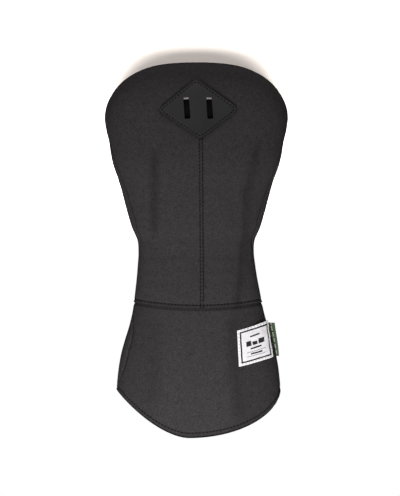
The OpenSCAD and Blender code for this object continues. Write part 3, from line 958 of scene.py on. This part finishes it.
def lining_seam(grid):
    """How much thinner a lining is where its halves meet."""
    return 1.2 * bell(grid["side"], 1.6)


def padding(name, front):
    """Foam of one half of the head pocket, thinned to its edges."""
    low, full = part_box(name)[0].z / MM, FOAM_OUT - FOAM_IN
    grid = half_grid(front, columns(5, EDGE_PLAIN), flat_rows(low, WIDEST, 4) + dome_rows(4))
    share = rounded(np.maximum(grid["side"] - PILLOW_R, 0), full) * rounded(grid["level"] - low, full)
    layer(name, grid, -(FOAM_IN + FOAM_OUT) / 2, full / 2 * share, FOAM, "head")


def head_lining(name, front):
    """Fleece of one half of the head pocket. Below the foam it comes out to the shell."""
    low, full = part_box(name)[0].z / MM, HEAD_FLEECE_OUT - HEAD_FLEECE_IN
    rows = [(0, 0, low + rise) for rise in (0, 0.1, 0.4, 0.9, 1.8)]
    rows += flat_rows(low + 4, WIDEST, 4) + dome_rows(4)
    grid = half_grid(front, columns(4, EDGE_PLAIN), rows)
    depth = mix(SLEEVE_FLEECE_IN, HEAD_FLEECE_IN, ease((grid["level"] - low) / 22)) + 0.1
    half = full / 2 * rounded(grid["level"] - low, full)
    layer(name, grid, -depth - full / 2, half, FLEECE, "neck", lining_seam(grid))


def sleeve_lining(name, front):
    """Fleece of one half of the sleeve, from the hem to the neck, pressed in at the horizontal seam."""
    high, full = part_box(name)[1].z / MM, SLEEVE_FLEECE_OUT - SLEEVE_FLEECE_IN
    over, level_from = 3.0, 110
    rows = [(1, 0, over + rise) for rise in (0, 0.1, 0.4, 0.9, 1.8, 3.5)]
    rows += rows_between(rows[-1], (0, 0, level_from), 26)
    rows += flat_rows(level_from, high - 1.8, 4) + [(0, 0, high - drop) for drop in (0.9, 0.4, 0.1, 0)]
    grid = half_grid(front, columns(4, EDGE_PLAIN), rows)
    pressed = -1.0 * window(grid["over_seam"], -6, 12, 4)
    half = full / 2 * rounded(grid["over_hem"] - over, full) * rounded(high - grid["level"], full)
    middle = -(SLEEVE_FLEECE_IN + SLEEVE_FLEECE_OUT) / 2 + pressed
    layer(name, grid, middle, half, FLEECE, "neck", lining_seam(grid))


def neck_elastic():
    """Ribbed elastic band round the inside of the neck."""
    low, high = [v.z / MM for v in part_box("neck_elastic")]
    around, tall, rib_pitch, rib_height = 180, 14, 2.2, 0.08
    a, level = np.meshgrid(angle_at(np.linspace(0, 1, around)), np.linspace(low, high, tall))
    point, normal = skin(a, level)
    full = ELASTIC_OUT - ELASTIC_IN
    middle = -(ELASTIC_IN + ELASTIC_OUT) / 2
    half = full / 2 * rounded(np.minimum(level - low, high - level), full)
    half = (half + rib_height * np.sin(TURN * (level - low) / rib_pitch))[..., None]
    uv = np.stack([a / TURN * girth(np.array(NECK_Z)), level], -1)
    outer, inner = point + normal * (middle + half), point + normal * (middle - half)
    piece = slab("neck_elastic", outer, inner, [ELASTIC], uv, ring=True)
    fasten(piece, "neck_elastic", "neck")


# ---- thread

# Sides of a thread, and the places along a stitch where it is rounded off
THREAD_SIDES = 6
THREAD_STATIONS = np.array([0, 0.06, 0.2, 0.5, 0.8, 0.94, 1.0])


def sample(track, along, place):
    """Points of a track at places along it."""
    return np.stack([np.interp(place, along, track[:, k]) for k in range(3)], -1)


def stitches(name, paths, material, body):
    """Rows of stitches along paths of (points, normals). Each stitch dives into the cloth at its ends."""
    thick = THREAD_R * np.sqrt(np.maximum(1 - np.abs(2 * THREAD_STATIONS - 1) ** 5, 0))
    arch = THREAD_R * (np.sin(np.pi * THREAD_STATIONS) - 0.7)
    turn = TURN * np.arange(THREAD_SIDES) / THREAD_SIDES
    stations = len(THREAD_STATIONS)
    points, faces, uvs, start = [], [], [], 0
    for path, normal in paths:
        along = np.concatenate([[0], np.cumsum(np.linalg.norm(np.diff(path, axis=0), axis=1))])
        count = int(along[-1] // STITCH_PITCH)
        spare = along[-1] - count * STITCH_PITCH + STITCH_PITCH - STITCH_LEN
        at = spare / 2 + STITCH_PITCH * np.arange(count)[:, None] + STITCH_LEN * THREAD_STATIONS
        up = sample(normal, along, at)
        ahead = sample(path, along, at + 0.05) - sample(path, along, at - 0.05)
        ahead /= np.linalg.norm(ahead, axis=-1, keepdims=True)
        across = np.cross(up, ahead)
        centre = sample(path, along, at) + up * arch[None, :, None]
        ring = across[:, :, None] * np.cos(turn)[:, None] + up[:, :, None] * np.sin(turn)[:, None]
        tube = centre[:, :, None] + ring * thick[None, :, None, None]
        k, i, j = np.indices((count, stations - 1, THREAD_SIDES))
        corner = start + (k * stations + i) * THREAD_SIDES
        after = corner + (j + 1) % THREAD_SIDES
        corner = corner + j
        quads = np.stack([corner, after, after + THREAD_SIDES, corner + THREAD_SIDES], -1)
        faces.append(quads.reshape(-1, 4))
        points.append(tube.reshape(-1, 3))
        uv = np.stack(np.broadcast_arrays(at[:, :, None], turn), -1)
        uvs.append(uv.reshape(-1, 2))
        start += count * stations * THREAD_SIDES
    piece = make_piece(name, np.concatenate(points), np.concatenate(faces), [material], np.concatenate(uvs))
    fasten(piece, name, body)


def edge_path(front, row, lift):
    """Path round one half along a row that keeps its distance from the hem or the seam."""
    half, seam_clear = TYPICAL_GIRTH / 2, 2.6
    grid = half_grid(front, np.linspace(seam_clear, half - seam_clear, 260) / half, [row])
    return lifted(grid, lift + 0 * grid["side"])[0], grid["normal"][0]


def front_path(x, z, lift):
    point, normal = front_skin(x, z)
    return point + normal * lift, normal


def dart_path(low, aside, lift):
    """Path up the dart from a height, to one side of its crease."""
    z = np.linspace(low, PATCH_FOOT + 0.5, 220)
    return front_path(dart_x(z) + aside, z, lift)


def patch_path():
    """Path round the patch, in the channel inside its rim."""
    x, z = diamond(np.linspace(0, TURN, 400), PATCH_CHANNEL)
    return front_path(x, z, PATCH_ROW_LIFT)


# ---- lash patch

# Roundness of the diamond's corners
PATCH_CORNER = 0.05
# Distance of the stitched channel from the patch's edge, and how far its thread lies over the shell
PATCH_CHANNEL, PATCH_ROW_LIFT = 2.0, 1.55
# Section of the patch from its edge inwards, over the rim and the channel: distance from the edge and height
PATCH_SECTION = [
    (0.25, 0.05), (0.05, 0.45), (0.0, 0.95), (0.12, 1.5), (0.4, 1.85), (0.8, 1.95), (1.15, 1.86),
    (1.5, 1.62), (1.85, 1.48), (2.2, 1.5), (2.6, 1.68), (3.1, 1.8), (4.0, 1.82),
]
# How far the upper end of a slot slopes down through the patch
SLOT_SLOPE = 1.7


def soft(v):
    return np.sqrt(v * v + PATCH_CORNER**2)


def diamond(turn, margin):
    """Point of the diamond's outline at a turn about its centre, brought in by a margin."""
    across, up = PATCH_W - margin * 1.2, PATCH_H - margin
    corner = soft(1) / across + PATCH_CORNER / up
    reach = across * corner / (soft(np.cos(turn)) / across + soft(np.sin(turn)) / up)
    u, v = reach * np.cos(turn), reach * np.sin(turn)
    return PATCH_X + u - v * math.sin(PATCH_TILT_V), PATCH_Z + v + u * math.sin(PATCH_TILT_U)


def lash_patch():
    """Plate with a rounded raised rim and a stitched channel, cut through by the two lash slots."""
    turn = np.linspace(0, TURN, 161)
    rings = [(*diamond(turn, margin), lift) for margin, lift in PATCH_SECTION]
    edge_x, edge_z, flat = rings[-1]
    shares = np.linspace(1, 0, 15)[1:]
    rings += [(mix(PATCH_X, edge_x, share), mix(PATCH_Z, edge_z, share), flat) for share in shares]
    x, z = np.stack([ring[0] for ring in rings]), np.stack([ring[1] for ring in rings])
    lift = np.array([ring[2] for ring in rings])[:, None, None]
    point, normal = front_skin(x, z)
    outer, inner = point + normal * lift, point + normal * np.minimum(lift, PATCH_SECTION[0][1])
    piece = slab("lash_patch", outer, inner, [LEATHER, CORE_GLINT], np.stack([x, z], -1), ring=True)
    cut_by(piece, [slot_cutter(side) for side in (-1, 1)])
    piece.data.set_sharp_from_angle(angle=math.radians(40))
    fasten(piece, "lash_patch", "head")


def cut_by(piece, cutters):
    """Takes the cutters' shapes out of the piece, with their materials on the cuts."""
    for cutter in cutters:
        cut = piece.modifiers.new("slot", "BOOLEAN")
        cut.operation = "DIFFERENCE"
        cut.solver = "EXACT"
        cut.object = cutter
        cut.material_mode = "TRANSFER"
    graph = bpy.context.evaluated_depsgraph_get()
    done = piece.evaluated_get(graph)
    mesh = bpy.data.meshes.new_from_object(done, preserve_all_data_layers=True, depsgraph=graph)
    piece.modifiers.clear()
    piece.data = mesh
    for cutter in cutters:
        bpy.data.objects.remove(cutter)


def slot_outline(radius=0.9, count=10):
    """Rounded rectangle of a lash slot, in its own coordinates."""
    corners = []
    for quarter, (sx, sz) in enumerate(((1, 1), (-1, 1), (-1, -1), (1, -1))):
        turn = np.pi / 2 * (quarter + np.linspace(0, 1, count))
        u = sx * (SLOT_W / 2 - radius) + radius * np.cos(turn)
        v = sz * (SLOT_H / 2 - radius) + radius * np.sin(turn)
        corners.append(np.stack([u, v], -1))
    return np.concatenate(corners)


def slot_cutter(side):
    """Cutting body of one lash slot. Its upper end slopes, and only there does it leave the pale cut core,
    which is partly a painted highlight of the light catching that end.
    """
    u, v = slot_outline().T
    cos, sin = math.cos(SLOT_TILT), math.sin(SLOT_TILT)
    middle_x, middle_z = PATCH_X + side * SLOT_PITCH / 2, PATCH_Z + SLOT_RISE
    point, normal = front_skin(middle_x - SLOT_H / 2 * sin, middle_z + SLOT_H / 2 * cos)
    face_y = (point + normal * PATCH_T)[1]
    rings = []
    for depth, slope in ((-20.0, 0.0), (-0.2, 0.0), (1.6, SLOT_SLOPE), (12.0, SLOT_SLOPE)):
        height = v - slope * ease((v - SLOT_H / 2 + 3.4) / 3.0)
        x = middle_x + u * cos - height * sin
        z = middle_z + height * cos + u * sin
        rings.append(np.stack([x, np.full(len(u), face_y + depth), z], -1))
    index = np.arange(len(rings) * len(u)).reshape(len(rings), len(u))
    around = np.roll(index, -1, 1)
    walls = np.stack([index[:-1], around[:-1], around[1:], index[1:]], -1)
    faces = walls.reshape(-1, 4).tolist() + [index[0][::-1].tolist(), index[-1].tolist()]
    middle_u, middle_v = (u + np.roll(u, -1)) / 2, (v + np.roll(v, -1)) / 2
    # Pale cut core with a painted highlight, on the sloping upper end only
    core_glint_faces = (middle_v > SLOT_H / 2 - 0.5) & (np.abs(middle_u) < SLOT_W / 2 - 0.3)
    marks = np.zeros(len(faces), int)
    marks[len(u):2 * len(u)] = core_glint_faces
    name = f"slot_cutter_{side + 1}"
    return make_piece(name, np.concatenate(rings), faces, [LEATHER, CORE_GLINT], face_material=marks)


# ---- woven label

# Corners of the label on the front, as sideways place and height
LABEL_LEFT = ((37.9, 65.0), (36.2, 97.4))
LABEL_RIGHT = ((67.5, 73.7), (60.6, 106.0))
LABEL_W, LABEL_H, LABEL_T = 32.5, 32.8, 0.7
# Distances of the woven frame's two sides and of the stitches from the label's edge
LABEL_FRAME = (2.1, 3.5)
LABEL_INSET = 1.2
# Plain bars woven into the label, as left, right, bottom and top in millimetres from its lower left corner
LABEL_BARS = [
    (11.5, 21.0, 23.6, 24.9),
    (7.4, 12.2, 15.8, 20.4), (13.3, 18.0, 15.8, 19.0), (19.1, 25.1, 15.8, 20.4),
    (11.0, 21.5, 12.6, 14.0),
    (7.4, 25.1, 10.2, 10.6),
    (11.0, 21.5, 7.9, 9.3),
    (7.4, 25.1, 6.4, 6.8),
]


def label_point(across, up, lift):
    """Points and normals of the label, in millimetres from its corner. Its upper right stands off."""
    u, v = across / LABEL_W, up / LABEL_H
    ends = []
    for low, high in (LABEL_LEFT, LABEL_RIGHT):
        a, level = front_place(mix(low[0], high[0], v), mix(low[1], high[1], v))
        ends.append((turn_at(a), level))
    turn, level = [mix(left, right, u) for left, right in zip(*ends)]
    point, normal = skin(angle_at(turn), level)
    stand = mix(1.2, 3.4, v) * ease(u * 1.3 - 0.3)
    return point + normal * (lift + stand)[..., None], normal


def label_lines(length, bar_ends):
    """Grid lines along one side of the label, with the frame and the ends of the bars among them."""
    step = 0.8
    marks = [0, 0.1, 0.3, *LABEL_FRAME]
    marks = np.unique(np.round([*marks, *bar_ends, *[length - mark for mark in marks]], 3))
    lines = []
    for low, high in zip(marks[:-1], marks[1:]):
        count = max(1, math.ceil((high - low) / step))
        lines += np.linspace(low, high, count + 1)[:-1].tolist()
    return np.array([*lines, length])


def edge_distance(across, up):
    return np.minimum.reduce([across, LABEL_W - across, up, LABEL_H - up])


def woven_label():
    """Satin label with a selvedge, a woven frame line and plain bars."""
    frame_out, frame_in = LABEL_FRAME
    xs = label_lines(LABEL_W, [v for bar in LABEL_BARS for v in bar[:2]])
    ys = label_lines(LABEL_H, [v for bar in LABEL_BARS for v in bar[2:]])
    across, up = np.meshgrid(xs, ys)
    cell_x, cell_y = np.meshgrid((xs[1:] + xs[:-1]) / 2, (ys[1:] + ys[:-1]) / 2)
    cell_border = edge_distance(cell_x, cell_y)
    marks = np.where(cell_border < frame_out, 1, np.where(cell_border < frame_in, 2, 0))
    for left, right, bottom, top in LABEL_BARS:
        marks[(cell_x > left) & (cell_x < right) & (cell_y > bottom) & (cell_y < top)] = 2
    border = edge_distance(across, up)
    share = rounded(border, 0.6)
    puff = 0.15 * np.sin(np.pi * across / LABEL_W) * np.sin(np.pi * up / LABEL_H)
    groove = 0.12 * bell(border - LABEL_INSET, 0.5)
    outer, _ = label_point(across, up, 0.25 + LABEL_T * (0.5 + 0.5 * share) + puff - groove)
    inner, _ = label_point(across, up, 0.12 + LABEL_T * (0.3 - 0.3 * share))
    materials = [LABEL_FIELD, LABEL_EDGE, LABEL_LINE]
    piece = slab("woven_label", outer, inner, materials, np.stack([across, up], -1), marks)
    fasten(piece, "woven_label", "sleeve")


def label_paths():
    """Paths along the label's four sides, just sunk into its face."""
    low, right, top = LABEL_INSET, LABEL_W - LABEL_INSET, LABEL_H - LABEL_INSET
    corners = np.array([(low, low), (right, low), (right, top), (low, top), (low, low)])
    share = np.linspace(0, 1, 60)[:, None]
    lift = np.full(60, 0.25 + LABEL_T - 0.05)
    sides = [mix(corners[k], corners[k + 1], share).T for k in range(4)]
    return [label_point(across, up, lift) for across, up in sides]


# ---- side tab

# How deep the tab's legs are buried in the seam, and how far it reaches out at its foot and at its top
TAB_BURIED = 2.6
TAB_REACH = (2.6, 7.6)
# Half widths of the loop's outer and inner faces
TAB_HALVES = (0.78, 0.3)


def tab_contour(half, reach, steps, bend):
    """Section of the loop: out along one leg, round the fold and back along the other."""
    legs = mix(-TAB_BURIED, reach - 0.9, steps)
    swell = half + 0.22 * np.sin(np.pi * steps)
    out = np.concatenate([legs, legs[-1] + (half + 0.15) * np.cos(bend), legs[::-1]])
    return out, np.concatenate([-swell, half * np.sin(bend), swell[::-1]])


def side_tab():
    """Loop of ribbon folded over its outer edge and sewn into the right side seam."""
    low, high = [v.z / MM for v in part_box("side_tab")]
    bend, steps = np.linspace(-np.pi / 2, np.pi / 2, 13), np.linspace(0, 1, 14)
    rows = np.linspace(low, high, 60)
    root, _ = skin(np.zeros(len(rows)), rows)
    lean = np.arctan2(root[0, 0] - root[-1, 0], high - low)
    faces = []
    for half in TAB_HALVES:
        grid = []
        for k, z in enumerate(rows):
            out, side = tab_contour(half, mix(*TAB_REACH, k / (len(rows) - 1)), steps, bend)
            x = root[k, 0] + out * math.cos(lean)
            grid.append(np.stack([x, root[k, 1] + side, z - 0.6 - 0.05 * out], -1))
        faces.append(np.array(grid))
    outer, inner = faces
    length = np.concatenate([[0], np.cumsum(np.linalg.norm(np.diff(outer[0], axis=0), axis=1))])
    uv = np.stack(np.meshgrid(length, rows), -1)
    along = (steps[1:] + steps[:-1]) / 2
    share = np.concatenate([along, np.ones(len(bend) + 1), along[::-1]])
    height = (rows[1:] + rows[:-1]) / 2 - low
    dash = ((height[:, None] % 5.4) > 1.4) & (share > 0.58) & (share < 0.80)
    piece = slab("side_tab", outer, inner, [RIBBON, RIBBON_MARK], uv, dash.astype(int))
    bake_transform(piece)
    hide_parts("side_tab")


# ---- stage, light and camera

def backdrop():
    """Pale sheet that the head lies against. It curves away and fades out below the neck."""
    half_wide, tall, back, foot, radius = 900.0, 900.0, 44.5, 170.0, 130.0
    sweep = np.linspace(0, np.pi / 3, 20)[::-1]
    profile = [(back + radius * (1 - math.cos(t)), foot - radius * math.sin(t)) for t in sweep]
    profile += [(back, z) for z in np.linspace(foot, tall, 12)[1:]]
    xs = np.linspace(-half_wide, half_wide, 9)
    points = [(x, y, z) for y, z in profile for x in xs]
    quads = grid_quads(len(profile), len(xs))
    paper = new_material("backdrop_paper", backdrop_paper)
    sheet = make_piece("backdrop", points, quads, [paper], closed=False)
    sheet.visible_shadow = sheet.visible_diffuse = sheet.visible_glossy = False
    return sheet


def backdrop_paper(tree):
    """Pale paper seen only from the front, clear at its foot and where it is seen edge on."""
    shader = tree.nodes["Principled BSDF"]
    feed(tree, shader, {
        "Base Color": grey(0.93),
        "Roughness": 0.9,
        "Emission Color": (1.0, 0.83, 0.68, 1),
        "Emission Strength": 0.20,
    })
    geometry = add(tree, "NewGeometry").outputs
    height = add(tree, "SeparateXYZ", {0: geometry["Position"]}).outputs[2]
    faded = spread(tree, height, 0.17, 0.23, 1.0, 0.0)
    facing = add(tree, "LayerWeight", {"Blend": 0.5}).outputs["Facing"]
    edge_on = spread(tree, facing, 0.7, 0.9)
    clear_share = math_node(tree, "MAXIMUM", faded, geometry["Backfacing"])
    clear_share = math_node(tree, "MAXIMUM", clear_share, edge_on)
    clear = add(tree, "BsdfTransparent")
    blend = add(tree, "MixShader", {0: clear_share, 1: shader.outputs[0], 2: clear.outputs[0]})
    feed(tree, tree.nodes["Material Output"], {"Surface": blend.outputs[0]})


def area_light(name, place, target, size, power, colour=(1, 1, 1), only=None):
    """Soft rectangular light aimed at a target. It can be kept to one object."""
    data = bpy.data.lights.new(name, "AREA")
    data.shape = "RECTANGLE"
    data.size, data.size_y = size
    data.energy = power
    data.color = colour
    light = bpy.data.objects.new(name, data)
    bpy.context.scene.collection.objects.link(light)
    light.location = place
    light.rotation_euler = (Vector(target) - Vector(place)).to_track_quat("-Z", "Y").to_euler()
    light.visible_camera = False
    if only is not None:
        lit = bpy.data.collections.new(name + "_lit")
        lit.objects.link(only)
        light.light_linking.receiver_collection = lit


# Lights of the cover and the light kept to the sheet: name, place, target, size, power and colour
LIGHTS = [
    ("key", (-0.05, -0.52, -0.20), (0, 0, 0.06), (0.24, 0.20), 4.3, (1.0, 0.975, 0.98)),
    ("crown_fill", (0.0, -0.22, 1.0), (0, 0, 0.33), (0.3, 0.3), 2.5, (1.0, 0.95, 0.97)),
    ("low_fill", (0.0, 0.60, -0.75), (0, 0, 0.03), (0.4, 0.3), 2.0),
    ("left_strip", (-0.8, -0.1, 0.0), (0, 0, 0.1), (0.3, 0.8), 1.8),
    ("right_strip", (0.8, -0.1, 0.0), (0, 0, 0.1), (0.3, 0.8), 1.5),
    ("back_fill", (0.1, 1.6, 0.05), (0, 0, 0.16), (0.5, 0.5), 16),
]
SHEET_LIGHT = ("sheet_light", (0.0, -1.25, -0.30), (0, 0, 0.25), (1.2, 0.8), 90, (1.0, 0.93, 0.86))


def studio(sheet):
    """White surround, key low in front, fills above, below and behind, side strips and the sheet's light."""
    world = bpy.data.worlds.new("studio")
    bpy.context.scene.world = world
    world.use_nodes = True
    tree = world.node_tree
    seen = add(tree, "LightPath").outputs["Is Camera Ray"]
    strength = spread(tree, seen, 0, 1, 0.08, 1.0)
    feed(tree, tree.nodes["Background"], {"Color": grey(1.0), "Strength": strength})
    for light in LIGHTS:
        area_light(*light)
    area_light(*SHEET_LIGHT, only=sheet)


def camera():
    """Straight-on long-lens camera. Its frame is 449 mm tall at the cover."""
    distance, frame_h, middle = 5.0, 0.4491, (0.0027, 0.172)
    data = bpy.data.cameras.new("camera")
    data.sensor_width = 36
    data.lens = data.sensor_width * distance / frame_h
    cam = bpy.data.objects.new("camera", data)
    bpy.context.scene.collection.objects.link(cam)
    cam.location = (middle[0], -distance, middle[1])
    cam.rotation_euler = (math.pi / 2, 0, 0)
    bpy.context.scene.camera = cam
    bpy.context.scene.view_settings.view_transform = "Standard"


# ---- the whole cover

simulate_drape()

for side, front in (("front", True), ("back", False)):
    panel(f"{side}_panel", front)
    skirt(f"{side}_skirt", front)
    padding(f"{side}_padding", front)
    head_lining(f"head_lining_{side}", front)
    sleeve_lining(f"sleeve_lining_{side}", front)
    seam_paths = [edge_path(front, (0, 1, ROW_ABOVE), 0.0), edge_path(front, (0, 1, -ROW_BELOW), -0.55)]
    stitches(f"seam_stitching_{side}", seam_paths, DARK_THREAD, "sleeve")
    hem_paths = [edge_path(front, (1, 0, HEM_ROW), -0.15)]
    stitches(f"hem_stitching_{side}", hem_paths, DARK_THREAD, "sleeve")

neck_elastic()
lash_patch()
woven_label()
side_tab()
dart_paths = [dart_path(SEAM_Z + ROW_ABOVE + 2, DART_ROW, -0.12), dart_path(SEAM_Z + 1, 0.0, -0.5)]
stitches("dart_stitching", dart_paths, DARK_THREAD, "neck")
stitches("patch_stitching", [patch_path()], DARK_THREAD, "head")
stitches("label_stitching", label_paths(), PALE_THREAD, "sleeve")

studio(backdrop())
camera()
